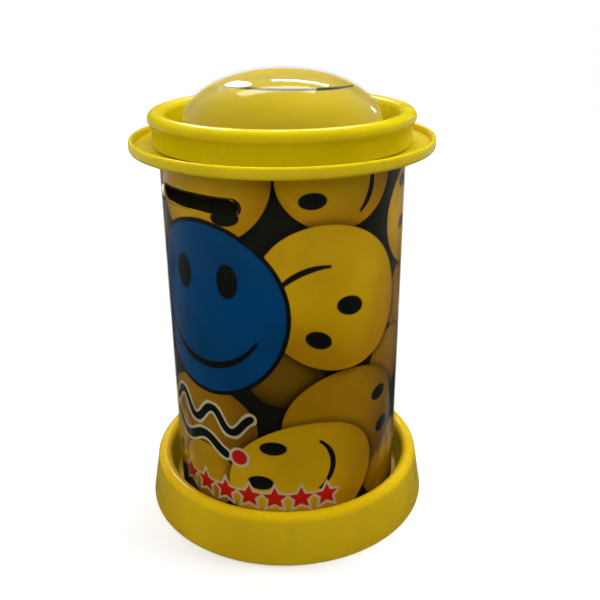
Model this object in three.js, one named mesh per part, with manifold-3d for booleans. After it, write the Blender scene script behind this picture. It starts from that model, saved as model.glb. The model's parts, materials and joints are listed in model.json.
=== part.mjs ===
// Coin bank jar: a printed clear tube in a flared base, closed by a collar and a domed push-fit cap.
// Millimetres, +Z up, origin at the centre of the base's underside, coin slot facing -Y.
import * as THREE from "three";
import { mergeVertices } from "three/addons/utils/BufferGeometryUtils.js";
import Module from "manifold-3d";

const wasm = await Module();
wasm.setup();

// ---- Driving dimensions -------------------------------------------------------------------------

const SEGMENTS = 64; // facets round every turned piece

const TUBE_RADIUS = 45;
const TUBE_LENGTH = 135.2;
const TUBE_WALL = 0.8;
const LINER_THICKNESS = 0.4;

const SLOT_WIDTH = 37.5;
const SLOT_HEIGHT = 5.6;
const SLOT_BELOW_SPIGOT = 2.9; // from the end of the collar's spigot down to the slot
const LINER_SLOT_MARGIN = 0.3; // the liner's cut is this much larger all round

const WALL = 1.6; // yellow mouldings
const FLOOR_HEIGHT = 6;
const BASE_FLARE = 2.7; // how far the foot stands out past the rim
const BASE_RIM_HEIGHT = 19;
const BASE_RIM_WIDTH = 5.6;
const BASE_CHANNEL = 2.7; // gap from the tube to the rim's inner edge
const BASE_CHANNEL_FOOT = 0.9; // the same gap down at the floor
const LOCATING_RING_HEIGHT = 9;
const RIB_COUNT = 12;
const RIB_THICKNESS = 1.2;

const DISH_OVERHANG = 9.3; // collar lip beyond the tube
const LIP_HEIGHT = 4.1;
const LIP_UNDER_ROUND = 1.2; // radius under the lip's outer edge
const COLLAR_SPIGOT = 6; // depth inside the tube

const CAP_HEIGHT = 11.5; // from the dish floor to the top of the rolled rim
const CAP_BEAD_WIDTH = 5.9;
const CAP_BEAD_HEIGHT = 5.2;
const CAP_BEAD_OVERHANG = 1.2;
const MOAT_DEPTH = 7.9; // from the top of the rolled rim to the moat's floor
const MOAT_WIDTH = 4; // between the dome and the rolled rim
const CAP_SPIGOT_SETBACK = 1.9; // the cap's spigot ends this far above the collar's
const DOME_RISE = 23.1; // above its brim
const DOME_POWER = 2.2; // 2 would be an ellipse; more is squarer in the shoulder
const DOME_WALL = 0.6;
const PRINTED_DOME_WALL = 0.4;

const SEAT_GAP = 0.3; // between pieces that rest on each other
const FIT_GAP = 0.3; // round a piece that fits inside another

// ---- Sizes that follow ---------------------------------------------------------------------------

const tubeInner = TUBE_RADIUS - TUBE_WALL;
const tubeBottom = FLOOR_HEIGHT + SEAT_GAP;
const tubeTop = tubeBottom + TUBE_LENGTH;
const linerOuter = tubeInner - FIT_GAP;
const linerInner = linerOuter - LINER_THICKNESS;

const ringOuter = linerInner - FIT_GAP;
const baseRimInner = TUBE_RADIUS + BASE_CHANNEL;
const baseRimOuter = baseRimInner + BASE_RIM_WIDTH;
const baseFoot = baseRimOuter + BASE_FLARE;
const channelFoot = TUBE_RADIUS + BASE_CHANNEL_FOOT;

const dishUnder = tubeTop + SEAT_GAP;
const dishFloor = dishUnder + WALL;
const lipOuter = TUBE_RADIUS + DISH_OVERHANG;
const spigotOuter = linerInner - FIT_GAP;
const collarBore = spigotOuter - WALL;
const spigotEnd = dishUnder - COLLAR_SPIGOT;
const slotMiddle = spigotEnd - SLOT_BELOW_SPIGOT - SLOT_HEIGHT / 2;

const capFoot = dishFloor + SEAT_GAP;
const capTop = capFoot + CAP_HEIGHT;
const capSpigotOuter = collarBore - FIT_GAP;
const capSpigotInner = capSpigotOuter - WALL;
const capRimInner = capSpigotOuter;
const capRimOuter = capRimInner + CAP_BEAD_WIDTH;
const capWallOuter = capRimOuter - CAP_BEAD_OVERHANG;
const capSpigotEnd = spigotEnd + CAP_SPIGOT_SETBACK;
const moatFloor = capTop - MOAT_DEPTH;
const moatUnder = moatFloor - WALL;
const domeRadius = capRimInner - MOAT_WIDTH;
const domeHole = domeRadius + FIT_GAP;

const brimTop = moatUnder - SEAT_GAP;
const brimBottom = brimTop - DOME_WALL;
const plugRadius = capSpigotInner - FIT_GAP;
const plugTop = brimBottom - SEAT_GAP;

// ---- Materials -----------------------------------------------------------------------------------

const finishes = {
  yellow: { color: 0xd8c000, roughness: 0.35, metalness: 0 },
  clear: { color: 0xe8eae2, roughness: 0.08, metalness: 0, transparent: true, opacity: 0.35 },
  liner: { color: 0xa88200, roughness: 0.45, metalness: 0 },
  dome: { color: 0xd2b400, roughness: 0.4, metalness: 0 },
};

const materialFor = (finish) => new THREE.MeshStandardMaterial(finishes[finish]);

// ---- Shape helpers -------------------------------------------------------------------------------

// Turns a closed outline of [radius, height] points about +Z. The outline runs anticlockwise as seen
// with the radius to the right and the height up, which leaves the faces pointing out.
function turned(outline) {
  const points = outline.map(([radius, height]) => new THREE.Vector2(radius, height));
  const startsOnAxis = outline[0][0] === 0;
  if (!startsOnAxis) points.push(points[0].clone());
  const geometry = new THREE.LatheGeometry(points, SEGMENTS);
  geometry.rotateX(Math.PI / 2);
  return geometry;
}

// Points along an elliptical arc, angles in degrees from the outward direction.
function arc(radius, height, halfWidth, rise, from, to, steps) {
  const points = [];
  for (let i = 0; i <= steps; i++) {
    const angle = THREE.MathUtils.degToRad(from + ((to - from) * i) / steps);
    points.push([radius + halfWidth * Math.cos(angle), height + rise * Math.sin(angle)]);
  }
  return points;
}

// A rounded lower outer corner.
const roundCorner = (radius, height, size) => arc(radius, height, size, size, -90, 0, 3);

// The dome's outline from its foot to its top, drawn inward by `inset`.
function domeCurve(inset, steps) {
  const radius = domeRadius - inset;
  const rise = DOME_RISE - inset;
  const points = [];
  for (let i = 0; i <= steps; i++) {
    const angle = (Math.PI / 2) * (i / steps);
    const across = i === steps ? 0 : Math.cos(angle) ** (2 / DOME_POWER);
    points.push([radius * across, brimTop + rise * Math.sin(angle) ** (2 / DOME_POWER)]);
  }
  return points;
}

function toSolid(geometry) {
  const bare = geometry.clone();
  bare.deleteAttribute("normal");
  bare.deleteAttribute("uv");
  const merged = mergeVertices(bare, 1e-4);
  const vertProperties = new Float32Array(merged.attributes.position.array);
  const triVerts = new Uint32Array(merged.index.array);
  return new wasm.Manifold(new wasm.Mesh({ numProp: 3, vertProperties, triVerts }));
}

function toGeometry(solid) {
  const mesh = solid.getMesh();
  const geometry = new THREE.BufferGeometry();
  geometry.setAttribute("position", new THREE.BufferAttribute(new Float32Array(mesh.vertProperties), 3));
  geometry.setIndex(new THREE.BufferAttribute(new Uint32Array(mesh.triVerts), 1));
  geometry.computeVertexNormals();
  return geometry;
}

// A bar with round ends along Y that crosses the front wall only, from the axis out past the tube.
function slotCutter(margin) {
  const radius = SLOT_HEIGHT / 2 + margin;
  const reach = SLOT_WIDTH / 2 + margin - radius;
  const shape = new THREE.Shape();
  shape.absarc(reach, 0, radius, -Math.PI / 2, Math.PI / 2, false);
  shape.absarc(-reach, 0, radius, Math.PI / 2, (3 * Math.PI) / 2, false);
  const geometry = new THREE.ExtrudeGeometry(shape, {
    depth: TUBE_RADIUS + WALL,
    bevelEnabled: false,
    curveSegments: 8,
  });
  geometry.rotateX(Math.PI / 2);
  geometry.translate(0, 0, slotMiddle);
  return toSolid(geometry);
}

// ---- Pieces --------------------------------------------------------------------------------------

function base() {
  const rimMiddle = (baseRimInner + baseRimOuter) / 2;
  const rimHalf = BASE_RIM_WIDTH / 2;
  const rimSpring = BASE_RIM_HEIGHT - rimHalf;
  const innerHalf = rimHalf - WALL;
  const floorUnder = FLOOR_HEIGHT - WALL;
  const outline = [
    [0, floorUnder],
    [channelFoot + WALL, floorUnder],
    ...arc(rimMiddle, rimSpring, innerHalf, innerHalf, 180, 0, 4),
    [baseFoot - WALL, 0],
    [baseFoot, 0],
    ...arc(rimMiddle, rimSpring, rimHalf, rimHalf, 0, 180, 8),
    [channelFoot, FLOOR_HEIGHT],
    [ringOuter, FLOOR_HEIGHT],
    [ringOuter, FLOOR_HEIGHT + LOCATING_RING_HEIGHT],
    [ringOuter - WALL, FLOOR_HEIGHT + LOCATING_RING_HEIGHT],
    [ringOuter - WALL, FLOOR_HEIGHT],
    [0, FLOOR_HEIGHT],
  ];
  let solid = toSolid(turned(outline));
  const rib = new THREE.ExtrudeGeometry(
    new THREE.Shape([
      new THREE.Vector2(channelFoot + WALL / 2, floorUnder),
      new THREE.Vector2(baseFoot - WALL, floorUnder),
      new THREE.Vector2(baseRimOuter - WALL / 2, rimSpring),
      new THREE.Vector2(baseRimInner + WALL / 2, rimSpring),
    ]),
    { depth: RIB_THICKNESS, bevelEnabled: false },
  );
  rib.translate(0, 0, -RIB_THICKNESS / 2);
  rib.rotateX(Math.PI / 2);
  rib.rotateZ(Math.PI / RIB_COUNT);
  for (let i = 0; i < RIB_COUNT; i++) {
    solid = solid.add(toSolid(rib));
    rib.rotateZ((2 * Math.PI) / RIB_COUNT);
  }
  return toGeometry(solid);
}

// A plain round wall with the coin slot cut through its front.
function slottedWall(inner, outer, bottom, top, slotMargin) {
  const wall = turned([
    [inner, bottom],
    [outer, bottom],
    [outer, top],
    [inner, top],
  ]);
  return toGeometry(toSolid(wall).subtract(slotCutter(slotMargin)));
}

const tube = () => slottedWall(tubeInner, TUBE_RADIUS, tubeBottom, tubeTop, 0);

const printedLiner = () =>
  slottedWall(linerInner, linerOuter, tubeBottom, tubeTop, LINER_SLOT_MARGIN);

function collar() {
  const lipTop = dishUnder + LIP_HEIGHT;
  const lipHalf = WALL / 2;
  return turned([
    [collarBore, spigotEnd],
    [spigotOuter, spigotEnd],
    [spigotOuter, dishUnder],
    ...roundCorner(lipOuter - LIP_UNDER_ROUND, dishUnder + LIP_UNDER_ROUND, LIP_UNDER_ROUND),
    ...arc(lipOuter - lipHalf, lipTop - lipHalf, lipHalf, lipHalf, 0, 180, 6),
    [lipOuter - WALL, dishFloor],
    [collarBore, dishFloor],
  ]);
}

function capRing() {
  const beadMiddle = (capRimInner + capRimOuter) / 2;
  const beadHalf = CAP_BEAD_WIDTH / 2;
  const beadRise = CAP_BEAD_HEIGHT / 2;
  const beadHeight = capTop - beadRise;
  const innerHalf = beadHalf - WALL;
  const wallInner = capWallOuter - WALL;
  const rimWallInner = capRimInner + WALL;
  const overhangFoot = capTop - CAP_BEAD_HEIGHT;
  const hollowTop = capTop - WALL - innerHalf / 2;
  return turned([
    [capSpigotInner, capSpigotEnd],
    [capSpigotOuter, capSpigotEnd],
    [capSpigotOuter, moatUnder],
    [rimWallInner, moatUnder],
    [rimWallInner, overhangFoot],
    [beadMiddle, hollowTop],
    [wallInner, overhangFoot],
    [wallInner, capFoot],
    [capWallOuter, capFoot],
    [capWallOuter, overhangFoot],
    ...arc(beadMiddle, beadHeight, beadHalf, beadRise, -30, 180, 10),
    [capRimInner, moatFloor],
    [domeHole, moatFloor],
    [domeHole, moatUnder],
    [capSpigotInner, moatUnder],
  ]);
}

function clearDome() {
  const outer = domeCurve(0, 10);
  const inner = domeCurve(DOME_WALL, 9).reverse();
  return turned([
    ...inner,
    [domeRadius - DOME_WALL, brimBottom],
    [plugRadius, brimBottom],
    [plugRadius, brimTop],
    ...outer,
  ]);
}

function printedDome() {
  const outerInset = DOME_WALL + FIT_GAP;
  const innerInset = outerInset + PRINTED_DOME_WALL;
  const outer = domeCurve(outerInset, 9);
  const inner = domeCurve(innerInset, 8).reverse();
  return turned([
    ...inner,
    [domeRadius - innerInset, brimBottom],
    [domeRadius - outerInset, brimBottom],
    ...outer,
  ]);
}

function domeRetainer() {
  const skirtBottom = capSpigotEnd + WALL;
  return turned([
    [0, plugTop - WALL],
    [plugRadius - WALL, plugTop - WALL],
    [plugRadius - WALL, skirtBottom],
    [plugRadius, skirtBottom],
    [plugRadius, plugTop],
    [0, plugTop],
  ]);
}

// ---- Assembly ------------------------------------------------------------------------------------

const pieces = [
  ["base", base, "yellow"],
  ["tube", tube, "clear"],
  ["printed_liner", printedLiner, "liner"],
  ["collar", collar, "yellow"],
  ["cap_ring", capRing, "yellow"],
  ["clear_dome", clearDome, "clear"],
  ["printed_dome", printedDome, "dome"],
  ["dome_retainer", domeRetainer, "yellow"],
];

const jar = new THREE.Group();
for (const [name, make, finish] of pieces) {
  const mesh = new THREE.Mesh(make(), materialFor(finish));
  mesh.name = name;
  jar.add(mesh);
}

export default jar;
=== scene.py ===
"""Coin bank jar: a printed clear tube in a flared base, under a dished collar and a domed cap.

Sizes are in millimetres here and in metres in the meshes. The jar stands on z = 0, and its coin
slot faces -Y.
"""

import json
import math

import bpy
from mathutils import Matrix, Vector

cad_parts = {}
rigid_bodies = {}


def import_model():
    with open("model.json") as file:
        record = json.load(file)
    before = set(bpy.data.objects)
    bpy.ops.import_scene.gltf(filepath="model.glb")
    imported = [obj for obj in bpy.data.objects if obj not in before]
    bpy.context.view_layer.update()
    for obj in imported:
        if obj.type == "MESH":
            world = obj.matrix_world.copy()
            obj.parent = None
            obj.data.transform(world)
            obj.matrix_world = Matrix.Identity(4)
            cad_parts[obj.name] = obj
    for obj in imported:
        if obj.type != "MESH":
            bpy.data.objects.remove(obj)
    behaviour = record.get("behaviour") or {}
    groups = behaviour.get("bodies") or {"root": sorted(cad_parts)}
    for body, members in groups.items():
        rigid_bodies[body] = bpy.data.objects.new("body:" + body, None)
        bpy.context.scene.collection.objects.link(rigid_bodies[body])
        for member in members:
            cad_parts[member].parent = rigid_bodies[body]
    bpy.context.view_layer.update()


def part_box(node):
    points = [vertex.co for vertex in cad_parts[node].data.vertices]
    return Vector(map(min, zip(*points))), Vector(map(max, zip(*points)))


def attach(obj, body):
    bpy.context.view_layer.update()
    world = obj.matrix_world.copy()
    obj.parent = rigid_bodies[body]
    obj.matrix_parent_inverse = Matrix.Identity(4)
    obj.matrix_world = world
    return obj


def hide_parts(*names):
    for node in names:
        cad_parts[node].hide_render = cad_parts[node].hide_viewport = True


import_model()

MM = 0.001
ROUND_STEPS = 192  # facets round a turned piece
SMOOTH_ANGLE = math.radians(38)

# ---- Sizes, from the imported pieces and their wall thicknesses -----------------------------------


def radius_and_heights(node):
    """Outer radius, foot and top of a round CAD node, in millimetres."""
    low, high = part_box(node)
    return high.y / MM, low.z / MM, high.z / MM


foot_radius, _, base_top = radius_and_heights("base")
tube_radius, tube_foot, tube_top = radius_and_heights("tube")
film_radius, _, _ = radius_and_heights("printed_liner")
lip_radius, collar_foot, lip_top = radius_and_heights("collar")
_, cap_spigot_foot, _ = radius_and_heights("cap_ring")
brim_radius, brim_foot, dome_top = radius_and_heights("clear_dome")
_, retainer_foot, retainer_top = radius_and_heights("dome_retainer")

WALL = 1.6
TUBE_WALL = 0.8
FILM = 0.4
SEAT_GAP = 0.3
FIT_GAP = 0.3

FLOOR_TOP = 6.0
FLOOR_UNDER = FLOOR_TOP - WALL
RIM_HALF = 2.8
RIM_MIDDLE = tube_radius + 5.5
RIM_SPRING = base_top - RIM_HALF
CHANNEL_FOOT = tube_radius + 0.9
RING_OUTER = film_radius - FILM - FIT_GAP
RING_TOP = 15.0
RIB_COUNT = 12
RIB_THICKNESS = 1.2

COLLAR_UNDER = tube_top + SEAT_GAP
DISH_FLOOR = COLLAR_UNDER + WALL
SPIGOT_BORE = RING_OUTER - WALL

CAP_FOOT = DISH_FLOOR + SEAT_GAP
CAP_TOP = CAP_FOOT + 11.5
CAP_SPIGOT = SPIGOT_BORE - FIT_GAP
BEAD_HALF = 2.95
BEAD_RISE = 2.6
BEAD_MIDDLE = CAP_SPIGOT + BEAD_HALF
BEAD_FOOT = CAP_TOP - 2 * BEAD_RISE
CAP_WALL = CAP_SPIGOT + 2 * BEAD_HALF - 1.2
MOAT_FLOOR = CAP_TOP - 7.9
MOAT_UNDER = MOAT_FLOOR - WALL

DOME_WALL = 0.6
DOME_FOOT = MOAT_UNDER - SEAT_GAP
DOME_RADIUS = CAP_SPIGOT - 4
DOME_POWER = 2.2

SLOT_WIDTH = 37.5
SLOT_HEIGHT = 5.6
SLOT_MIDDLE = collar_foot - 2.9 - SLOT_HEIGHT / 2
SLOT_FILM_MARGIN = 0.3

CAMERA_SIDE = 43.5  # degrees round from the slot to the side that the camera faces

# ---- Modelling helpers --------------------------------------------------------------------------


def select_only(piece):
    bpy.ops.object.select_all(action="DESELECT")
    piece.select_set(True)
    bpy.context.view_layer.objects.active = piece


def named(name):
    """The object that was just added, under its own name."""
    piece = bpy.context.active_object
    piece.name = piece.data.name = name
    return piece


def arc(radius, height, half_width, rise, start, end, steps=16):
    """Points of [radius, height] along an elliptical arc, in degrees from the outward direction."""
    angles = [math.radians(start + (end - start) * i / steps) for i in range(steps + 1)]
    return [(radius + half_width * math.cos(a), height + rise * math.sin(a)) for a in angles]


def draw_outline(name, outline):
    """Extrudes one vertex along the outline, which lies in the XZ plane, and stays in edit mode."""
    bpy.ops.object.select_all(action="DESELECT")
    bpy.ops.mesh.primitive_plane_add(size=MM, location=(0, 0, 0))
    piece = named(name)
    bpy.ops.object.mode_set(mode="EDIT")
    bpy.ops.mesh.select_all(action="SELECT")
    bpy.ops.mesh.merge(type="CENTER")
    points = [Vector((radius, 0, height)) * MM for radius, height in outline]
    bpy.ops.transform.translate(value=points[0])
    for start, end in zip(points, points[1:]):
        bpy.ops.mesh.extrude_region_move(TRANSFORM_OT_translate={"value": end - start})
    return piece


def close_up():
    """Merges what coincides and turns all faces outward, in edit mode."""
    bpy.ops.mesh.select_all(action="SELECT")
    bpy.ops.mesh.remove_doubles(threshold=0.001 * MM)
    bpy.ops.mesh.normals_make_consistent(inside=False)


def turned(name, outline):
    """Spins an outline about +Z. One that doesn't start on the axis is closed on itself first."""
    on_axis = outline[0][0] == 0
    piece = draw_outline(name, outline if on_axis else outline + outline[:1])
    bpy.ops.mesh.select_all(action="SELECT")
    bpy.ops.mesh.spin(
        steps=ROUND_STEPS, angle=2 * math.pi, center=(0, 0, 0), axis=(0, 0, 1), use_auto_merge=True
    )
    close_up()
    bpy.ops.object.mode_set(mode="OBJECT")
    return piece


def round_edges(piece, width, segments=3, limit=40):
    """Rounds each edge that turns by more than the limit, and smooths the shading."""
    select_only(piece)
    bevel = piece.modifiers.new("rounding", "BEVEL")
    bevel.width = width * MM
    bevel.segments = segments
    bevel.limit_method = "ANGLE"
    bevel.angle_limit = math.radians(limit)
    bpy.ops.object.modifier_apply(modifier=bevel.name)
    bpy.ops.object.shade_smooth_by_angle(angle=SMOOTH_ANGLE)


def cut(piece, cutter):
    select_only(piece)
    difference = piece.modifiers.new("cut", "BOOLEAN")
    difference.operation = "DIFFERENCE"
    difference.solver = "EXACT"
    difference.object = cutter
    bpy.ops.object.modifier_apply(modifier=difference.name)
    bpy.data.objects.remove(cutter)


def join(piece, others):
    select_only(piece)
    for other in others:
        other.select_set(True)
    bpy.ops.object.join()


def slot_bar(margin):
    """A bar with round ends that crosses the front wall where the coins go in."""
    width, height = SLOT_WIDTH + 2 * margin, SLOT_HEIGHT + 2 * margin
    proud, inner_end = 4, 22
    depth = tube_radius + proud - inner_end
    rounding = 0.499 * height  # just under half, so that no face folds over
    bpy.ops.object.select_all(action="DESELECT")
    bpy.ops.mesh.primitive_cube_add(
        size=MM,
        location=(0, -(tube_radius + proud - depth / 2) * MM, SLOT_MIDDLE * MM),
        scale=(width, depth, height),
    )
    bar = named("slot_bar")
    bpy.ops.object.transform_apply(location=True, rotation=True, scale=True)
    bpy.ops.object.mode_set(mode="EDIT")
    bpy.ops.mesh.select_all(action="DESELECT")
    bpy.ops.object.mode_set(mode="OBJECT")
    for edge in bar.data.edges:
        ends = [bar.data.vertices[i].co for i in edge.vertices]
        edge.select = abs(ends[0].y - ends[1].y) > MM
    bpy.ops.object.mode_set(mode="EDIT")
    bpy.ops.mesh.select_mode(type="EDGE")
    bpy.ops.mesh.bevel(offset=rounding * MM, segments=14, affect="EDGES")
    bpy.ops.mesh.select_mode(type="VERT")
    bpy.ops.object.mode_set(mode="OBJECT")
    return bar


# ---- Pieces -------------------------------------------------------------------------------------


def make_base():
    """The flared base: rolled rim, channel round the tube, locating ring, and ribs underneath."""
    inner_half = RIM_HALF - WALL
    gate_radius, gate_depth, gate_slope = 1.6, 0.5, 0.8
    base = turned(
        "base_moulding",
        [
            (0, FLOOR_UNDER - gate_depth),
            (gate_radius, FLOOR_UNDER - gate_depth),
            (gate_radius + gate_slope, FLOOR_UNDER),
            (CHANNEL_FOOT + WALL, FLOOR_UNDER),
            *arc(RIM_MIDDLE, RIM_SPRING, inner_half, inner_half, 180, 0, 8),
            (foot_radius - WALL, 0),
            (foot_radius, 0),
            *arc(RIM_MIDDLE, RIM_SPRING, RIM_HALF, RIM_HALF, 0, 180, 20),
            (CHANNEL_FOOT, FLOOR_TOP),
            (RING_OUTER, FLOOR_TOP),
            (RING_OUTER, RING_TOP),
            (RING_OUTER - WALL, RING_TOP),
            (RING_OUTER - WALL, FLOOR_TOP),
            (0, FLOOR_TOP),
        ],
    )
    round_edges(base, 0.35)
    join(base, [make_ribs(), *make_pin_marks()])
    return base


def make_ribs():
    """Webs across the hollow skirt, from the channel's wall to the skirt, one every 30 degrees."""
    sink, overlap = WALL / 2, 0.2
    web = draw_outline(
        "webs",
        [
            (CHANNEL_FOOT + sink, FLOOR_UNDER),
            (foot_radius - WALL + overlap, FLOOR_UNDER),
            (RIM_MIDDLE + RIM_HALF - sink, RIM_SPRING),
            (RIM_MIDDLE - RIM_HALF + sink, RIM_SPRING),
        ],
    )
    bpy.ops.mesh.select_all(action="SELECT")
    bpy.ops.mesh.edge_face_add()
    half = Vector((0, RIB_THICKNESS * MM / 2, 0))
    bpy.ops.transform.translate(value=-half)
    bpy.ops.mesh.extrude_region_move(TRANSFORM_OT_translate={"value": 2 * half})
    close_up()
    bpy.ops.transform.rotate(
        value=math.pi / RIB_COUNT, orient_axis="Z", center_override=(0, 0, 0)
    )
    for _ in range(RIB_COUNT - 1):
        bpy.ops.mesh.select_linked()
        bpy.ops.mesh.duplicate()
        bpy.ops.transform.rotate(
            value=2 * math.pi / RIB_COUNT, orient_axis="Z", center_override=(0, 0, 0)
        )
    bpy.ops.object.mode_set(mode="OBJECT")
    return web


def make_pin_marks():
    """Low round marks that the ejector pins leave under the floor."""
    count, circle, radius, thickness, sunk = 6, 31, 2.6, 0.3, 0.05
    marks = []
    for turn in range(count):
        angle = 2 * math.pi * turn / count
        bpy.ops.object.select_all(action="DESELECT")
        bpy.ops.mesh.primitive_cylinder_add(
            vertices=32,
            radius=radius * MM,
            depth=thickness * MM,
            location=(
                circle * MM * math.cos(angle),
                circle * MM * math.sin(angle),
                (FLOOR_UNDER - sunk) * MM,
            ),
        )
        mark = named(f"pin_mark_{turn}")
        bpy.ops.object.transform_apply(location=True, rotation=True, scale=True)
        round_edges(mark, 0.08, segments=2)
        marks.append(mark)
    return marks


def make_tube():
    """The clear wall, cut through for coins."""
    inner = tube_radius - TUBE_WALL
    tube = turned(
        "tube_wall",
        [
            (inner, tube_foot),
            (tube_radius, tube_foot),
            (tube_radius, tube_top),
            (inner, tube_top),
        ],
    )
    cut(tube, slot_bar(0))
    round_edges(tube, 0.2)
    return tube


def film_buckle(across, height):
    """How far, in millimetres, coins have pushed the film inward at a place near the slot."""
    reach, fade, below, above = 22, 4.5, 1.1, 0.45
    near = max(0.0, 1 - (across / reach) ** 2)
    wave = 0.75 + 0.25 * math.sin(0.42 * across + 0.8)  # so that it isn't even along the slot
    lower = SLOT_MIDDLE - SLOT_HEIGHT / 2
    upper = SLOT_MIDDLE + SLOT_HEIGHT / 2
    if height < SLOT_MIDDLE:
        return below * near * wave * math.exp(-max(0.0, lower - height) / fade)
    spigot_end = collar_foot - FIT_GAP
    clear_of_spigot = max(0.0, 1 - max(0.0, height - upper) / (spigot_end - upper))
    return above * near * wave * clear_of_spigot


def make_film():
    """The rolled printed film, buckled inward round its own slot cut, with a lapped seam behind."""
    inner = film_radius - FILM
    fine_from, coarse_rows, fine_rows = 105, 4, 30  # close rows where the film buckles
    coarse_rise, fine_rise = fine_from - tube_foot, tube_top - fine_from
    heights = [tube_foot + coarse_rise * i / coarse_rows for i in range(coarse_rows + 1)]
    heights += [fine_from + fine_rise * i / fine_rows for i in range(1, fine_rows + 1)]
    film = turned(
        "printed_film_roll",
        [(inner, tube_foot)]
        + [(film_radius, h) for h in heights]
        + [(inner, h) for h in reversed(heights[1:])],
    )
    cut(film, slot_bar(SLOT_FILM_MARGIN))
    front, lap = 1.0, math.radians(9)  # half the buckled front, and the lap, as angles
    lap_depth = 0.12
    for vertex in film.data.vertices:
        place = vertex.co
        around = math.atan2(place.x, -place.y)
        inward = 0.0
        if abs(around) < front:
            inward = film_buckle(film_radius * around, place.z / MM)
        elif around > math.pi - lap:
            inward = lap_depth * (around - math.pi + lap) / lap
        scale = 1 - inward * MM / math.hypot(place.x, place.y)
        place.x *= scale
        place.y *= scale
    round_edges(film, 0.06, segments=1)
    return film


def make_collar():
    """The dished collar glued on the tube, with a spigot inside the film."""
    lip_half, bend = WALL / 2, 1.2
    collar = turned(
        "collar_moulding",
        [
            (SPIGOT_BORE, collar_foot),
            (RING_OUTER, collar_foot),
            (RING_OUTER, COLLAR_UNDER),
            *arc(lip_radius - bend, COLLAR_UNDER + bend, bend, bend, -90, 0, 8),
            *arc(lip_radius - lip_half, lip_top - lip_half, lip_half, lip_half, 0, 180, 12),
            (lip_radius - WALL, DISH_FLOOR),
            (SPIGOT_BORE, DISH_FLOOR),
        ],
    )
    round_edges(collar, 0.3)
    return collar


def make_cap_ring():
    """The cap's moulding: spigot, moat round the dome, and the rolled bead over a plain wall."""
    inner_half = BEAD_HALF - WALL
    wall_inner = CAP_WALL - WALL
    bead_start = -42  # degrees, where the bead meets the wall
    ring = turned(
        "cap_moulding",
        [
            (CAP_SPIGOT - WALL, cap_spigot_foot),
            (CAP_SPIGOT, cap_spigot_foot),
            (CAP_SPIGOT, MOAT_UNDER),
            (CAP_SPIGOT + WALL, MOAT_UNDER),
            (CAP_SPIGOT + WALL, BEAD_FOOT),
            (BEAD_MIDDLE, CAP_TOP - WALL - inner_half / 2),
            (wall_inner, BEAD_FOOT),
            (wall_inner, CAP_FOOT),
            (CAP_WALL, CAP_FOOT),
            (CAP_WALL, BEAD_FOOT),
            *arc(BEAD_MIDDLE, CAP_TOP - BEAD_RISE, BEAD_HALF, BEAD_RISE, bead_start, 180, 28),
            (CAP_SPIGOT, MOAT_FLOOR),
            (DOME_RADIUS + FIT_GAP, MOAT_FLOOR),
            (DOME_RADIUS + FIT_GAP, MOAT_UNDER),
            (CAP_SPIGOT - WALL, MOAT_UNDER),
        ],
    )
    round_edges(ring, 0.35)
    return ring


def dome_curve(inset, steps=30):
    """The dome's outline from its foot to its top, drawn inward by the inset."""
    radius, rise = DOME_RADIUS - inset, dome_top - DOME_FOOT - inset
    points = []
    for i in range(steps + 1):
        angle = math.pi / 2 * i / steps
        across = 0 if i == steps else math.cos(angle) ** (2 / DOME_POWER)
        points.append((radius * across, DOME_FOOT + rise * math.sin(angle) ** (2 / DOME_POWER)))
    return points


def make_clear_dome():
    """The clear moulded dome with the flat brim that the cap's ring holds down."""
    dome = turned(
        "dome_cover",
        [
            *reversed(dome_curve(DOME_WALL)),
            (DOME_RADIUS - DOME_WALL, brim_foot),
            (brim_radius, brim_foot),
            (brim_radius, DOME_FOOT),
            *dome_curve(0),
        ],
    )
    round_edges(dome, 0.12, segments=2)
    return dome


def make_printed_dome():
    """The printed shell just under the clear dome."""
    outer = DOME_WALL + FIT_GAP
    inner = outer + FILM
    dome = turned(
        "dome_print",
        [
            *reversed(dome_curve(inner)),
            (DOME_RADIUS - inner, brim_foot),
            (DOME_RADIUS - outer, brim_foot),
            *dome_curve(outer),
        ],
    )
    round_edges(dome, 0.08, segments=1)
    return dome


def make_retainer():
    """The disc with a skirt and a gate mark that closes the cap from below."""
    gate_radius, gate_depth, gate_slope = 1.4, 0.4, 0.8
    retainer = turned(
        "dome_retainer_disc",
        [
            (0, retainer_top - WALL - gate_depth),
            (gate_radius, retainer_top - WALL - gate_depth),
            (gate_radius + gate_slope, retainer_top - WALL),
            (brim_radius - WALL, retainer_top - WALL),
            (brim_radius - WALL, retainer_foot),
            (brim_radius, retainer_foot),
            (brim_radius, retainer_top),
            (0, retainer_top),
        ],
    )
    round_edges(retainer, 0.3)
    return retainer


# ---- Node helpers -------------------------------------------------------------------------------


def feed(tree, socket, value):
    """Links a socket's value into another socket, or sets a plain one."""
    if isinstance(value, bpy.types.NodeSocket):
        tree.links.new(value, socket)
    elif socket.type == "RGBA" and len(value) == 3:
        socket.default_value = (*value, 1)
    else:
        socket.default_value = value


def calc(tree, operation, *values, clamp=False):
    node = tree.nodes.new("ShaderNodeMath")
    node.operation = operation
    node.use_clamp = clamp
    for socket, value in zip(node.inputs, values):
        feed(tree, socket, value)
    return node.outputs["Value"]


def vector_calc(tree, operation, *values):
    node = tree.nodes.new("ShaderNodeVectorMath")
    node.operation = operation
    if operation == "SCALE":
        feed(tree, node.inputs["Scale"], values[1])
        values = values[:1]
    for socket, value in zip(node.inputs, values):
        feed(tree, socket, value)
    return node.outputs["Value" if operation in ("LENGTH", "DOT_PRODUCT") else "Vector"]


def parts_of(tree, vector):
    node = tree.nodes.new("ShaderNodeSeparateXYZ")
    feed(tree, node.inputs[0], vector)
    return node.outputs


def vector_of(tree, x, y, z=0.0):
    node = tree.nodes.new("ShaderNodeCombineXYZ")
    for socket, value in zip(node.inputs, (x, y, z)):
        feed(tree, socket, value)
    return node.outputs[0]


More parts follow.
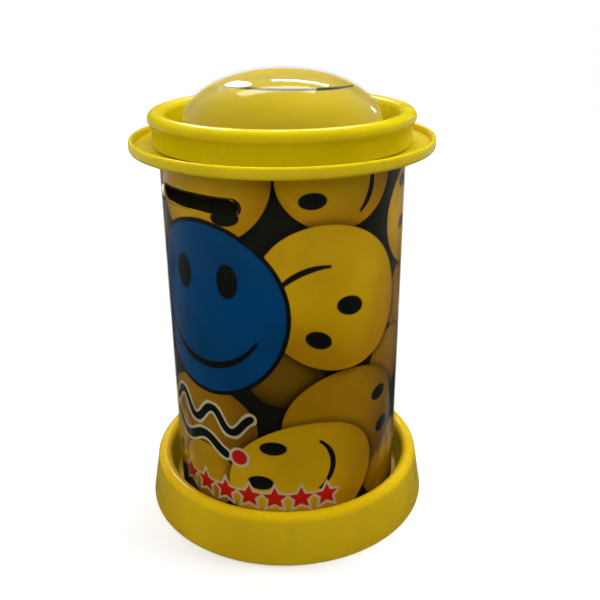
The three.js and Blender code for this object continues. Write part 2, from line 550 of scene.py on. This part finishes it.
def ramp_between(tree, value, low, high, to_low=0.0, to_high=1.0):
    """A smooth step from one value to another."""
    node = tree.nodes.new("ShaderNodeMapRange")
    node.interpolation_type = "SMOOTHSTEP"
    for name, number in zip(
        ("Value", "From Min", "From Max", "To Min", "To Max"), (value, low, high, to_low, to_high)
    ):
        feed(tree, node.inputs[name], number)
    return node.outputs[0]


def mix(tree, factor, first, second, blend="MIX"):
    node = tree.nodes.new("ShaderNodeMix")
    node.data_type = "RGBA"
    node.blend_type = blend
    for number, value in ((0, factor), (6, first), (7, second)):
        feed(tree, node.inputs[number], value)
    return node.outputs[2]


def noise(tree, place, scale, detail=3.0, roughness=0.5):
    node = tree.nodes.new("ShaderNodeTexNoise")
    feed(tree, node.inputs["Vector"], place)
    node.inputs["Scale"].default_value = scale
    node.inputs["Detail"].default_value = detail
    node.inputs["Roughness"].default_value = roughness
    return node.outputs["Fac"]


SOCKET_KINDS = {
    "colour": "NodeSocketColor",
    "place": "NodeSocketVector",
    "number": "NodeSocketFloat",
}


def start_group(name, inputs, outputs):
    """A shader node group with named sockets. Returns it with its inputs and its output node."""
    tree = bpy.data.node_groups.new(name, "ShaderNodeTree")
    for socket_name, kind in inputs.items():
        tree.interface.new_socket(socket_name, in_out="INPUT", socket_type=SOCKET_KINDS[kind])
    for socket_name, kind in outputs.items():
        tree.interface.new_socket(socket_name, in_out="OUTPUT", socket_type=SOCKET_KINDS[kind])
    given = tree.nodes.new("NodeGroupInput").outputs
    result = tree.nodes.new("NodeGroupOutput")
    return tree, given, result


def place_group(tree, group, **values):
    """Puts a group into a material with its own values. Underscores stand for spaces."""
    node = tree.nodes.new("ShaderNodeGroup")
    node.node_tree = group
    for name, value in values.items():
        feed(tree, node.inputs[name.replace("_", " ")], value)
    return node.outputs


# ---- Printing, as groups that each lay one shape over the colour beneath ------------------------

REPEAT = math.pi * film_radius  # the print comes round twice
EDGE_BLUR = 0.22  # half width of a printed edge, in millimetres


def start_shape(name, own):
    """Starts the group of one printed shape, from its own inputs and the shared ones."""
    shared = {"Under": "colour", "Place": "place", "Middle": "place", "Turn": "number"}
    return start_group(name, {**shared, **own}, {"Colour": "colour"})


def turned_offset(tree, given):
    """The way from a shape's middle to here, unrolled, and turned into the shape's own axes."""
    away = parts_of(tree, vector_calc(tree, "SUBTRACT", given["Place"], given["Middle"]))
    across = calc(tree, "WRAP", away[0], REPEAT / 2, -REPEAT / 2)
    rotate = tree.nodes.new("ShaderNodeVectorRotate")
    rotate.rotation_type = "Z_AXIS"
    feed(tree, rotate.inputs["Vector"], vector_of(tree, across, away[1]))
    angle = calc(tree, "MULTIPLY", calc(tree, "RADIANS", given["Turn"]), -1.0)
    feed(tree, rotate.inputs["Angle"], angle)
    return rotate.outputs[0]


def lay_ink(tree, given, result, distance):
    """Inks the inside of a shape, given its distance from the shape's edge in millimetres."""
    mask = ramp_between(tree, distance, -EDGE_BLUR, EDGE_BLUR, 1.0, 0.0)
    feed(tree, result.inputs["Colour"], mix(tree, mask, given["Under"], given["Ink"]))


def make_ball_group():
    """A ball that is darker away from its light and at its rim, over a dark halo."""
    tree, given, result = start_shape(
        "printed_ball",
        {
            "Half Sizes": "place",
            "Lit": "colour",
            "Shaded": "colour",
            "Halo": "number",
        },
    )
    # in half sizes from the middle: away from the light, and where the front face sits
    light_side, front_shift, front_scale = (0.22, -0.3, 0), (0.045, -0.05, 0), 1.06
    offset = turned_offset(tree, given)
    scaled = vector_calc(tree, "DIVIDE", offset, given["Half Sizes"])
    reach = vector_calc(tree, "LENGTH", scaled)
    from_light = vector_calc(tree, "LENGTH", vector_calc(tree, "ADD", scaled, light_side))
    falloff = ramp_between(tree, from_light, 0.5, 1.3)
    body = mix(tree, falloff, given["Lit"], given["Shaded"])
    front = vector_calc(tree, "ADD", vector_calc(tree, "SCALE", scaled, front_scale), front_shift)
    rim = ramp_between(tree, vector_calc(tree, "LENGTH", front), 0.985, 1.012, 0.0, 0.55)
    body = mix(tree, rim, body, given["Shaded"])
    halo = ramp_between(tree, reach, 0.97, 1.14, given["Halo"], 1.0)
    shaded_under = mix(tree, 1.0, given["Under"], vector_of(tree, halo, halo, halo), "MULTIPLY")
    mask = ramp_between(tree, reach, 0.988, 1.004, 1.0, 0.0)
    feed(tree, result.inputs["Colour"], mix(tree, mask, shaded_under, body))
    return tree


def make_dot_group():
    """A plain ellipse."""
    tree, given, result = start_shape("printed_dot", {"Half Sizes": "place", "Ink": "colour"})
    offset = turned_offset(tree, given)
    reach = vector_calc(tree, "LENGTH", vector_calc(tree, "DIVIDE", offset, given["Half Sizes"]))
    size = calc(tree, "MINIMUM", *parts_of(tree, given["Half Sizes"])[:2])
    lay_ink(tree, given, result, calc(tree, "MULTIPLY", calc(tree, "SUBTRACT", reach, 1.0), size))
    return tree


def make_arc_group():
    """A stroke along an arc, thinner at its ends, whose middle points down where Turn is 0."""
    tree, given, result = start_shape(
        "printed_arc",
        {
            "Radius": "number",
            "Half Span": "number",
            "Half Width": "number",
            "Ink": "colour",
        },
    )
    offset = parts_of(tree, turned_offset(tree, given))
    across = calc(tree, "ABSOLUTE", offset[0])
    down = calc(tree, "MULTIPLY", offset[1], -1.0)
    around = calc(tree, "ARCTAN2", across, down)
    held = calc(tree, "MINIMUM", around, calc(tree, "RADIANS", given["Half Span"]))
    nearest = vector_of(
        tree,
        calc(tree, "MULTIPLY", given["Radius"], calc(tree, "SINE", held)),
        calc(tree, "MULTIPLY", given["Radius"], calc(tree, "COSINE", held)),
    )
    apart = vector_calc(tree, "SUBTRACT", vector_of(tree, across, down), nearest)
    gap = vector_calc(tree, "LENGTH", apart)
    along = calc(tree, "DIVIDE", held, calc(tree, "RADIANS", given["Half Span"]))
    taper = ramp_between(tree, along, 0.2, 1.1, 1.0, 0.5)
    half_width = calc(tree, "MULTIPLY", given["Half Width"], taper)
    lay_ink(tree, given, result, calc(tree, "SUBTRACT", gap, half_width))
    return tree


def make_wave_group():
    """A wavy stroke with round ends."""
    tree, given, result = start_shape(
        "printed_wave",
        {
            "Half Length": "number",
            "Wave Length": "number",
            "Wave Height": "number",
            "Half Width": "number",
            "Ink": "colour",
        },
    )
    offset = parts_of(tree, turned_offset(tree, given))
    full_turns = calc(tree, "MULTIPLY", offset[0], 2 * math.pi)
    phase = calc(tree, "DIVIDE", full_turns, given["Wave Length"])
    swing = calc(tree, "MULTIPLY", calc(tree, "SINE", phase), given["Wave Height"])
    slope = calc(
        tree,
        "DIVIDE",
        calc(tree, "MULTIPLY", calc(tree, "COSINE", phase), given["Wave Height"]),
        calc(tree, "DIVIDE", given["Wave Length"], 2 * math.pi),
    )
    steepness = calc(tree, "SQRT", calc(tree, "ADD", calc(tree, "MULTIPLY", slope, slope), 1.0))
    off_line = calc(tree, "DIVIDE", calc(tree, "SUBTRACT", offset[1], swing), steepness)
    past_end = calc(tree, "SUBTRACT", calc(tree, "ABSOLUTE", offset[0]), given["Half Length"])
    gap = vector_calc(
        tree, "LENGTH", vector_of(tree, calc(tree, "MAXIMUM", past_end, 0.0), off_line)
    )
    lay_ink(tree, given, result, calc(tree, "SUBTRACT", gap, given["Half Width"]))
    return tree


def make_star_group():
    """A row of five-pointed stars, evenly spaced."""
    tree, given, result = start_shape(
        "printed_stars",
        {
            "Half Length": "number",
            "Spacing": "number",
            "Point Radius": "number",
            "Swell": "number",
            "Ink": "colour",
        },
    )
    offset = parts_of(tree, turned_offset(tree, given))
    half_spacing = calc(tree, "DIVIDE", given["Spacing"], 2.0)
    across = calc(tree, "WRAP", offset[0], half_spacing, calc(tree, "MULTIPLY", half_spacing, -1.0))
    reach = vector_calc(tree, "LENGTH", vector_of(tree, across, offset[1]))
    tenth = math.pi / 5
    around = calc(tree, "WRAP", calc(tree, "ARCTAN2", across, offset[1]), tenth, -tenth)
    along = calc(tree, "MULTIPLY", reach, calc(tree, "COSINE", around))
    beside = calc(tree, "MULTIPLY", reach, calc(tree, "ABSOLUTE", calc(tree, "SINE", around)))
    notch = 0.48  # the inner corners' radius over the points' radius
    side = Vector((notch * math.sin(tenth), 1 - notch * math.cos(tenth))).normalized()
    past_point = calc(tree, "SUBTRACT", along, given["Point Radius"])
    distance = calc(
        tree,
        "ADD",
        calc(tree, "MULTIPLY", past_point, side.x),
        calc(tree, "MULTIPLY", beside, side.y),
    )
    past_end = calc(tree, "SUBTRACT", calc(tree, "ABSOLUTE", offset[0]), given["Half Length"])
    swollen = calc(tree, "SUBTRACT", distance, given["Swell"])
    lay_ink(tree, given, result, calc(tree, "MAXIMUM", swollen, past_end))
    return tree


BALL = make_ball_group()
DOT = make_dot_group()
ARC = make_arc_group()
WAVE = make_wave_group()
STARS = make_star_group()


def make_wear_group():
    """Fine handling marks: cloudy tone, smudged gloss, and hairline scratches."""
    tree, given, result = start_group(
        "handling_wear",
        {"Place": "place", "Smudge Scale": "number", "Scratch Scale": "number"},
        {"Tone": "number", "Smudge": "number", "Scratch": "number", "Grain": "number"},
    )
    place = given["Place"]
    cloud_scale, bend_scale, patch_scale, grain_scale = 34.0, 60.0, 95.0, 1900.0
    upright = (1.0, 1.0, 0.12)  # draws the scratches out along the height
    scratch_width = 0.018
    cloudy = noise(tree, place, cloud_scale, 3.0, 0.55)
    feed(tree, result.inputs["Tone"], ramp_between(tree, cloudy, 0.3, 0.72))
    smudge = tree.nodes.new("ShaderNodeTexNoise")
    feed(tree, smudge.inputs["Vector"], place)
    feed(tree, smudge.inputs["Scale"], given["Smudge Scale"])
    smudge.inputs["Detail"].default_value = 5.0
    smudge.inputs["Distortion"].default_value = 0.6
    feed(tree, result.inputs["Smudge"], ramp_between(tree, smudge.outputs["Fac"], 0.38, 0.7))
    bent = noise(tree, place, bend_scale, 2.0)
    moved = vector_calc(tree, "ADD", place, vector_of(tree, bent, bent, bent))
    stretched = vector_calc(tree, "MULTIPLY", moved, upright)
    line = tree.nodes.new("ShaderNodeTexVoronoi")
    line.feature = "DISTANCE_TO_EDGE"
    feed(tree, line.inputs["Vector"], stretched)
    feed(tree, line.inputs["Scale"], given["Scratch Scale"])
    thin = ramp_between(tree, line.outputs["Distance"], 0.0, scratch_width, 1.0, 0.0)
    patchy = ramp_between(tree, noise(tree, place, patch_scale, 2.0), 0.56, 0.66)
    feed(tree, result.inputs["Scratch"], calc(tree, "MULTIPLY", thin, patchy))
    feed(tree, result.inputs["Grain"], noise(tree, place, grain_scale, 2.0))
    return tree


WEAR = make_wear_group()


# ---- Materials ----------------------------------------------------------------------------------


def start_material(name):
    material = bpy.data.materials.new(name)
    material.use_nodes = True
    tree = material.node_tree
    shader = tree.nodes["Principled BSDF"]
    coordinates = tree.nodes.new("ShaderNodeTexCoord")
    return material, tree, shader, coordinates.outputs["Object"]


def grey(level):
    return (level, level, level)


def raise_surface(tree, shader, height, strength, distance):
    """Feeds a height into the shader's normal. The distance is in metres."""
    bump = tree.nodes.new("ShaderNodeBump")
    bump.inputs["Strength"].default_value = strength
    bump.inputs["Distance"].default_value = distance
    feed(tree, bump.inputs["Height"], height)
    feed(tree, shader.inputs["Normal"], bump.outputs[0])


def wear_marks(tree, place, smudge_scale, scratch_scale):
    return place_group(
        tree, WEAR, Place=place, Smudge_Scale=smudge_scale, Scratch_Scale=scratch_scale
    )


def roughen(tree, shader, wear, smoothest, roughest, scratched=0.0):
    """Sets the roughness from the smudges, and adds to it where there are scratches."""
    rough = ramp_between(tree, wear["Smudge"], 0.0, 1.0, smoothest, roughest)
    added = calc(tree, "MULTIPLY", wear["Scratch"], scratched)
    feed(tree, shader.inputs["Roughness"], calc(tree, "ADD", rough, added))


def yellow_plastic(name, deep, pale, smoothest):
    """Moulded yellow plastic with a satin gloss, between two tones."""
    material, tree, shader, place = start_material(name)
    wear = wear_marks(tree, place, 48.0, 90.0)
    tone = mix(tree, wear["Tone"], deep, pale)
    scuff, scuff_share = (0.85, 0.66, 0.08), 0.25
    scuffed = mix(tree, calc(tree, "MULTIPLY", wear["Scratch"], scuff_share), tone, scuff)
    feed(tree, shader.inputs["Base Color"], scuffed)
    roughen(tree, shader, wear, smoothest, smoothest + 0.12, 0.15)
    grain_height, scratch_depth = 0.35, 0.6
    height = calc(
        tree,
        "SUBTRACT",
        calc(tree, "MULTIPLY", wear["Grain"], grain_height),
        calc(tree, "MULTIPLY", wear["Scratch"], scratch_depth),
    )
    raise_surface(tree, shader, height, 0.35, 0.04 * MM)
    shader.inputs["IOR"].default_value = 1.49
    shader.inputs["Specular IOR Level"].default_value = 0.25
    shader.inputs["Subsurface Weight"].default_value = 0.6
    shader.inputs["Subsurface Radius"].default_value = (1.0, 0.75, 0.05)
    shader.inputs["Subsurface Scale"].default_value = 4.5 * MM
    return material


def clear_plastic(name, refraction, smudge_scale, scratch_scale, tint):
    """Clear plastic that lamp light, and sight along its outermost edge, pass straight through."""
    material, tree, shader, place = start_material(name)
    edge_start, edge_end, edge_clearness = 0.58, 0.86, 0.85
    wear = wear_marks(tree, place, smudge_scale, scratch_scale)
    feed(tree, shader.inputs["Base Color"], mix(tree, wear["Tone"], tint, grey(1.0)))
    roughen(tree, shader, wear, 0.015, 0.07, 0.2)
    raise_surface(tree, shader, wear["Scratch"], 0.2, 0.03 * MM)
    shader.inputs["IOR"].default_value = refraction
    shader.inputs["Transmission Weight"].default_value = 1.0
    clear = tree.nodes.new("ShaderNodeBsdfTransparent")
    rays = tree.nodes.new("ShaderNodeLightPath")
    weight = tree.nodes.new("ShaderNodeLayerWeight")
    facing = weight.outputs["Facing"]
    edge = ramp_between(tree, facing, edge_start, edge_end, 0.0, edge_clearness)
    choose = tree.nodes.new("ShaderNodeMixShader")
    feed(tree, choose.inputs["Fac"], calc(tree, "MAXIMUM", rays.outputs["Is Shadow Ray"], edge))
    feed(tree, choose.inputs[1], shader.outputs[0])
    feed(tree, choose.inputs[2], clear.outputs[0])
    feed(tree, tree.nodes["Material Output"].inputs["Surface"], choose.outputs[0])
    return material


BLACK_INK = (0.005, 0.006, 0.005)
GAP_TONE = (0.008, 0.008, 0.004)
LIT_YELLOW = (0.72, 0.42, 0.003)
SHADED_YELLOW = (0.50, 0.24, 0.002)
MIDDLE_YELLOW = (0.54, 0.30, 0.003)
DIM_YELLOW = (0.43, 0.21, 0.002)
TAN = (0.34, 0.16, 0.002)
DIM_BROWN = (0.20, 0.085, 0.0015)
BROWN = (0.165, 0.08, 0.002)
DARK_BROWN = (0.05, 0.025, 0.001)
BLUE = (0.001, 0.060, 0.19)
RED = (0.62, 0.012, 0.006)
CREAM = (0.64, 0.55, 0.34)
SEAM_TONE = (0.55, 0.52, 0.42)
FILM_WEAR = (30.0, 60.0)  # the scales of its smudges and scratches
PRINT_ROUGHNESS = (0.45, 0.6)

# Each ball: middle (across, height), half sizes, turn, lit and shaded colours, eyes as (middle,
# half sizes, turn), and mouth as (middle, radius, half span, turn) or None. The one furthest back
# comes first.
BALLS = [
    ((33, 71), (14, 12), 0, BROWN, DARK_BROWN, [], None),
    ((92, 89), (17, 15), 0, TAN, DIM_BROWN, [], None),
    ((79, 68), (13, 12), 0, TAN, DIM_BROWN, [], None),
    ((80, 24), (17, 15), 0, TAN, DIM_BROWN, [], None),
    (
        (94, 120), (20.5, 19), 0, LIT_YELLOW, SHADED_YELLOW,
        [((87, 132), (4.4, 2.6), -8), ((88, 117), (4.6, 2.6), 5)],
        ((101, 124), 12, 48, 90),
    ),
    (
        (56.3, 49), (25, 22), 0, DIM_YELLOW, DIM_BROWN,
        [((71.6, 56), (4.0, 2.9), 10), ((74.3, 41.5), (3.8, 2.7), 25)],
        None,
    ),
    ((0, 48), (23, 17), 0, TAN, DIM_BROWN, [], None),
    ((-24, 34), (19, 16), 0, MIDDLE_YELLOW, TAN, [((-19.5, 27), (5.2, 2.6), 25)], None),
    ((0.5, 25), (14, 13), 0, MIDDLE_YELLOW, TAN, [], None),
    ((2.7, 140), (27, 24), 0, LIT_YELLOW, SHADED_YELLOW, [((13.4, 126.3), (5.4, 2.8), 5)], None),
    (
        (51.7, 140), (21.5, 18), 0, LIT_YELLOW, SHADED_YELLOW,
        [((42.5, 132.5), (4.8, 2.8), 0)],
        ((50.5, 138), 14, 30, 72),
    ),
    (
        (51.1, 97.8), (29.6, 25), -36, LIT_YELLOW, SHADED_YELLOW,
        [((56.3, 95), (5.3, 3.5), -14), ((44.7, 84), (5.0, 3.1), -25)],
        ((46.8, 89.1), 21.1, 28.6, -156),
    ),
    (
        (39.2, 28), (28.8, 23.5), 18, LIT_YELLOW, SHADED_YELLOW,
        [((28.3, 42), (5.0, 2.8), 0), ((23.4, 27), (5.0, 3.0), 0)],
        ((38, 34), 12.4, 53, 90),
    ),
]


def lay(tree, group, colour, place, middle, **values):
    """Lays one printed shape over the colour beneath, with its middle in millimetres."""
    return place_group(
        tree, group, Under=colour, Place=place, Middle=(*middle, 0), **values
    )["Colour"]


def lay_dot(tree, colour, place, middle, half_sizes, turn, ink):
    """Lays an ellipse of one ink."""
    return lay(
        tree, DOT, colour, place, middle, Half_Sizes=(*half_sizes, 1), Turn=turn, Ink=ink
    )


def lay_face(tree, colour, place, eyes, mouth, width):
    """Prints dots for eyes and one arc for a mouth."""
    for middle, half_sizes, turn in eyes:
        colour = lay_dot(tree, colour, place, middle, half_sizes, turn, BLACK_INK)
    if mouth:
        middle, radius, half_span, turn = mouth
        colour = lay(
            tree,
            ARC,
            colour,
            place,
            middle,
            Radius=radius,
            Half_Span=half_span,
            Half_Width=width,
            Turn=turn,
            Ink=BLACK_INK,
        )
    return colour


def lay_balls(tree, colour, place):
    for middle, half_sizes, turn, lit, shaded, eyes, mouth in BALLS:
        colour = lay(
            tree,
            BALL,
            colour,
            place,
            middle,
            Half_Sizes=(*half_sizes, 1),
            Turn=turn,
            Lit=lit,
            Shaded=shaded,
            Halo=0.35,
        )
        colour = lay_face(tree, colour, place, eyes, mouth, 1.1)
    return colour


def lay_blue_disc(tree, colour, place):
    """The blue disc under the slot, in a black outline."""
    for radius, ink in ((32.2, BLACK_INK), (30.6, BLUE)):
        colour = lay_dot(tree, colour, place, (3.1, 92.5), (radius, radius), 0.0, ink)
    eyes = [((-6.1, 104.5), (4.0, 6.2), 0), ((13.4, 104.5), (4.0, 6.2), 0)]
    return lay_face(tree, colour, place, eyes, ((2.9, 96.5), 24.5, 57, 0), 1.3)


def lay_motif(tree, colour, place):
    """Two wavy strokes and a red dot with cream edges, over a row of red stars."""
    cream_edge = 1.0
    # middle, half length, wave length, wave height, half width
    waves = [((0, 51), 20, 17.0, 3.6, 1.5), ((-5, 40), 15, 22.0, 2.4, 1.8)]
    for middle, half_length, wave_length, wave_height, half_width in waves:
        for edge, ink in ((cream_edge, CREAM), (0, BLACK_INK)):
            colour = lay(
                tree,
                WAVE,
                colour,
                place,
                middle,
                Half_Length=half_length,
                Wave_Length=wave_length,
                Wave_Height=wave_height,
                Half_Width=half_width + edge,
                Turn=-4.0,
                Ink=ink,
            )
    for radius, ink in ((3.1 + cream_edge, CREAM), (3.1, RED)):
        colour = lay_dot(tree, colour, place, (15.5, 36.5), (radius, radius), 0.0, ink)
    for swell, ink in ((0.9, CREAM), (0.0, RED)):
        colour = lay(
            tree,
            STARS,
            colour,
            place,
            (18.8, 20.5),
            Half_Length=34.0,
            Spacing=9.7,
            Point_Radius=4.9,
            Swell=swell,
            Turn=0.0,
            Ink=ink,
        )
    return colour


def unrolled(tree, place):
    """A point's place on the flat print: across from the slot's middle, and up, in millimetres."""
    x, y, z = parts_of(tree, place)
    around = calc(tree, "ARCTAN2", x, calc(tree, "MULTIPLY", y, -1.0))
    return vector_of(
        tree, calc(tree, "MULTIPLY", around, film_radius), calc(tree, "MULTIPLY", z, 1 / MM)
    )


def printed_film():
    """The print on the film: balls, the blue disc and the motif, with a pale line at the seam."""
    material, tree, shader, place = start_material("printed_film")
    flat = unrolled(tree, place)
    colour = lay_balls(tree, GAP_TONE, flat)
    colour = lay_blue_disc(tree, colour, flat)
    colour = lay_motif(tree, colour, flat)
    wear = wear_marks(tree, place, *FILM_WEAR)
    around = parts_of(tree, flat)[0]
    seam = calc(tree, "SUBTRACT", math.pi * film_radius, calc(tree, "ABSOLUTE", around))
    at_seam = ramp_between(tree, seam, 0.5, 0.9, 1.0, 0.0)
    colour = mix(tree, at_seam, colour, SEAM_TONE)
    tone = ramp_between(tree, wear["Tone"], 0.0, 1.0, 0.88, 1.06)
    clouded = mix(tree, 1.0, colour, vector_of(tree, tone, tone, tone), "MULTIPLY")
    feed(tree, shader.inputs["Base Color"], clouded)
    roughen(tree, shader, wear, *PRINT_ROUGHNESS)
    ripple = noise(tree, vector_calc(tree, "MULTIPLY", place, (1.0, 1.0, 0.25)), 55.0, 2.0)
    raise_surface(tree, shader, ripple, 0.25, 0.4 * MM)
    shader.inputs["Specular IOR Level"].default_value = 0.0
    return material


def film_back():
    """The unprinted side of the film."""
    material, tree, shader, place = start_material("film_back")
    wear = wear_marks(tree, place, *FILM_WEAR)
    bare = mix(tree, wear["Tone"], (0.50, 0.47, 0.38), (0.60, 0.57, 0.47))
    feed(tree, shader.inputs["Base Color"], bare)
    roughen(tree, shader, wear, *PRINT_ROUGHNESS)
    raise_surface(tree, shader, wear["Scratch"], 0.2, 0.03 * MM)
    return material


def dome_print():
    """A yellow ground with one face that looks out on the camera's side, drawn in plan."""
    material, tree, shader, place = start_material("dome_print")
    plan = vector_calc(tree, "DIVIDE", place, (MM, MM, MM))
    wear = wear_marks(tree, place, 40.0, 70.0)
    colour = mix(tree, wear["Tone"], (0.55, 0.40, 0.002), (0.60, 0.445, 0.002))
    eyes = [((-2.4, 15.6), (3.4, 5.0), CAMERA_SIDE), ((-15.5, 3.2), (3.4, 5.0), CAMERA_SIDE)]
    colour = lay_face(tree, colour, plan, eyes, ((-0.3, 1.8), 24, 67, CAMERA_SIDE + 12.5), 0.75)
    feed(tree, shader.inputs["Base Color"], colour)
    roughen(tree, shader, wear, *PRINT_ROUGHNESS)
    raise_surface(tree, shader, wear["Grain"], 0.2, 0.04 * MM)
    shader.inputs["Specular IOR Level"].default_value = 0.0
    return material


# ---- Stage, lamps and camera --------------------------------------------------------------------


def make_floor():
    """A pale round floor that glows: painted light, faint near the jar and white far from it."""
    bpy.ops.object.select_all(action="DESELECT")
    bpy.ops.mesh.primitive_circle_add(
        vertices=96, radius=6, fill_type="NGON", location=(0, 0, -0.1 * MM)
    )
    floor = named("floor")
    bpy.ops.object.transform_apply(location=True, rotation=True, scale=True)
    material, tree, shader, place = start_material("floor_paper")
    away = vector_calc(tree, "LENGTH", place)  # in metres, as are the ramps' ends below
    far = ramp_between(tree, away, 0.3, 1.0)
    tooth = noise(tree, place, 180.0, 3.0)
    paper = mix(tree, tooth, grey(0.90), grey(0.94))
    rays = tree.nodes.new("ShaderNodeLightPath").outputs
    seen = calc(tree, "MAXIMUM", rays["Is Camera Ray"], rays["Is Transmission Ray"])
    # painted shade: the floor's colour is darker for bounced rays than for the camera, and near
    # black for mirrored rays
    paper = mix(tree, seen, grey(0.30), paper)
    paper = mix(tree, rays["Is Glossy Ray"], paper, grey(0.06))
    # painted light: the glow that the camera sees, faint near the jar and full far away
    camera_glow = ramp_between(tree, away, 0.2, 0.7, 0.15, 1.0)
    # painted light: a faint glow far out for bounced rays, and a far glow that shows only in
    # reflections
    unseen_glow = calc(tree, "MULTIPLY", far, 0.15)
    mirrored_glow = ramp_between(tree, away, 0.36, 0.6, 0.0, 0.55)
    unseen_glow = ramp_between(tree, rays["Is Glossy Ray"], 0.0, 1.0, unseen_glow, mirrored_glow)
    glow = ramp_between(tree, seen, 0.0, 1.0, unseen_glow, camera_glow)
    feed(tree, shader.inputs["Base Color"], mix(tree, far, paper, grey(0.0)))
    feed(tree, shader.inputs["Emission Color"], vector_of(tree, glow, glow, glow))
    shader.inputs["Emission Strength"].default_value = 1.0
    shader.inputs["Roughness"].default_value = 0.7
    shader.inputs["Specular IOR Level"].default_value = 0.2
    floor.data.materials.append(material)


def add_softbox(name, side, elevation, distance, width, height, glow, lights):
    """A flat soft lamp that lights surfaces ("surfaces") or only shows in their gloss ("gloss").

    Side is in degrees round from the camera, and glow is the lamp's radiance.
    """
    aim = Vector((0, 0, 90 * MM))
    turn, rise = math.radians(CAMERA_SIDE + side), math.radians(elevation)
    away = Vector(
        (math.sin(turn) * math.cos(rise), -math.cos(turn) * math.cos(rise), math.sin(rise))
    )
    bpy.ops.object.light_add(type="AREA", location=aim + distance * away)
    lamp = bpy.context.active_object
    lamp.name = lamp.data.name = name
    lamp.rotation_euler = away.to_track_quat("Z", "Y").to_euler()
    lamp.data.shape = "RECTANGLE"
    lamp.data.size, lamp.data.size_y = width, height
    lamp.data.energy = glow * math.pi * width * height
    lamp.visible_diffuse = lights == "surfaces"
    lamp.visible_glossy = lamp.visible_transmission = lights == "gloss"


# name, side, elevation, distance, width, height, glow, and what the lamp lights
LAMPS = [
    ("window_high", -175, 59, 0.9, 0.55, 0.16, 4, "gloss"),
    ("window_low", 171, 43, 0.9, 0.30, 0.04, 28, "gloss"),
    ("window_left", -162, 39, 0.9, 0.08, 0.20, 36, "gloss"),
    ("side_window", 138, 18, 0.9, 0.05, 0.10, 6, "gloss"),
    ("overhead", 165, 72, 1.0, 0.9, 0.6, 4.4, "surfaces"),
    ("back_right", 146, 38, 0.9, 0.4, 0.4, 4.5, "surfaces"),
    ("front_fill", -10, 38, 1.2, 1.0, 0.7, 3.2, "surfaces"),
    ("right_side", 96, 40, 0.9, 0.4, 0.5, 5.2, "surfaces"),
    ("left_side", -110, 34, 0.8, 0.3, 0.6, 4.2, "surfaces"),
]


def make_world():
    """White where it's seen or seen through the clear pieces, and dimmer as a light."""
    light, glossy_light = 0.18, 0.05
    world = bpy.data.worlds.new("studio")
    bpy.context.scene.world = world
    world.use_nodes = True
    tree = world.node_tree
    room = tree.nodes["Background"]
    room.inputs["Color"].default_value = (0.95, 0.97, 1.0, 1)
    seen = tree.nodes.new("ShaderNodeBackground")
    seen.inputs["Color"].default_value = (1, 1, 1, 1)
    rays = tree.nodes.new("ShaderNodeLightPath").outputs
    strength = ramp_between(tree, rays["Is Glossy Ray"], 0, 1, light, glossy_light)
    feed(tree, room.inputs["Strength"], strength)
    direct = calc(tree, "SUBTRACT", 1.0, rays["Diffuse Depth"], clamp=True)
    through = calc(tree, "MULTIPLY", rays["Is Transmission Ray"], direct)
    choose = tree.nodes.new("ShaderNodeMixShader")
    feed(tree, choose.inputs["Fac"], calc(tree, "MAXIMUM", rays["Is Camera Ray"], through))
    feed(tree, choose.inputs[1], room.outputs[0])
    feed(tree, choose.inputs[2], seen.outputs[0])
    feed(tree, tree.nodes["World Output"].inputs["Surface"], choose.outputs[0])


def make_camera():
    bpy.ops.object.camera_add()
    camera = bpy.context.active_object
    camera.name = camera.data.name = "camera"
    distance, height = 278.7 * MM, 198.2 * MM
    side = math.radians(CAMERA_SIDE)
    pan, pitch, roll = math.radians(1.2), math.radians(22.78), math.radians(-0.38)
    camera.matrix_world = (
        Matrix.Translation((distance * math.sin(side), -distance * math.cos(side), height))
        @ Matrix.Rotation(side - pan, 4, "Z")
        @ Matrix.Rotation(math.pi / 2 - pitch, 4, "X")
        @ Matrix.Rotation(roll, 4, "Z")
    )
    camera.data.sensor_width = 36
    camera.data.lens = 46.59
    camera.data.clip_start = 0.01
    bpy.context.scene.camera = camera


# ---- Assembly -----------------------------------------------------------------------------------

make_camera()
make_floor()
make_world()
bpy.context.scene.view_settings.view_transform = "Standard"
for lamp_row in LAMPS:
    add_softbox(*lamp_row)

BASE_YELLOW = yellow_plastic("base_yellow", (0.70, 0.435, 0.002), (0.76, 0.49, 0.003), 0.25)
CAP_YELLOW = yellow_plastic("cap_yellow", (0.62, 0.485, 0.002), (0.68, 0.54, 0.003), 0.20)
TUBE_CLEAR = clear_plastic("tube_clear", 1.13, 26.0, 55.0, (0.98, 0.96, 0.88))
DOME_CLEAR = clear_plastic("dome_clear", 1.27, 40.0, 70.0, (0.97, 0.97, 0.93))

# piece, body, CAD node that it stands for, record slot, material
PIECES = [
    (make_base(), "jar", "base", "yellow_plastic", BASE_YELLOW),
    (make_tube(), "jar", "tube", "clear_plastic", TUBE_CLEAR),
    (make_film(), "jar", "printed_liner", "printed_film", printed_film()),
    (make_collar(), "jar", "collar", "yellow_plastic", CAP_YELLOW),
    (make_cap_ring(), "cap", "cap_ring", "yellow_plastic", CAP_YELLOW),
    (make_clear_dome(), "cap", "clear_dome", "clear_plastic", DOME_CLEAR),
    (make_printed_dome(), "cap", "printed_dome", "dome_print", dome_print()),
    (make_retainer(), "cap", "dome_retainer", "yellow_plastic", CAP_YELLOW),
]

for piece, body, node, slot, material in PIECES:
    piece.data.materials.clear()
    piece.data.materials.append(material)
    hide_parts(node)
    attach(piece, body)

film = PIECES[2][0]
film.data.materials.append(film_back())
for face in film.data.polygons:
    outward = Vector((face.center.x, face.center.y, 0)).normalized()
    faces_inward = face.normal.dot(outward) < -0.5
    face.material_index = 1 if faces_inward else 0
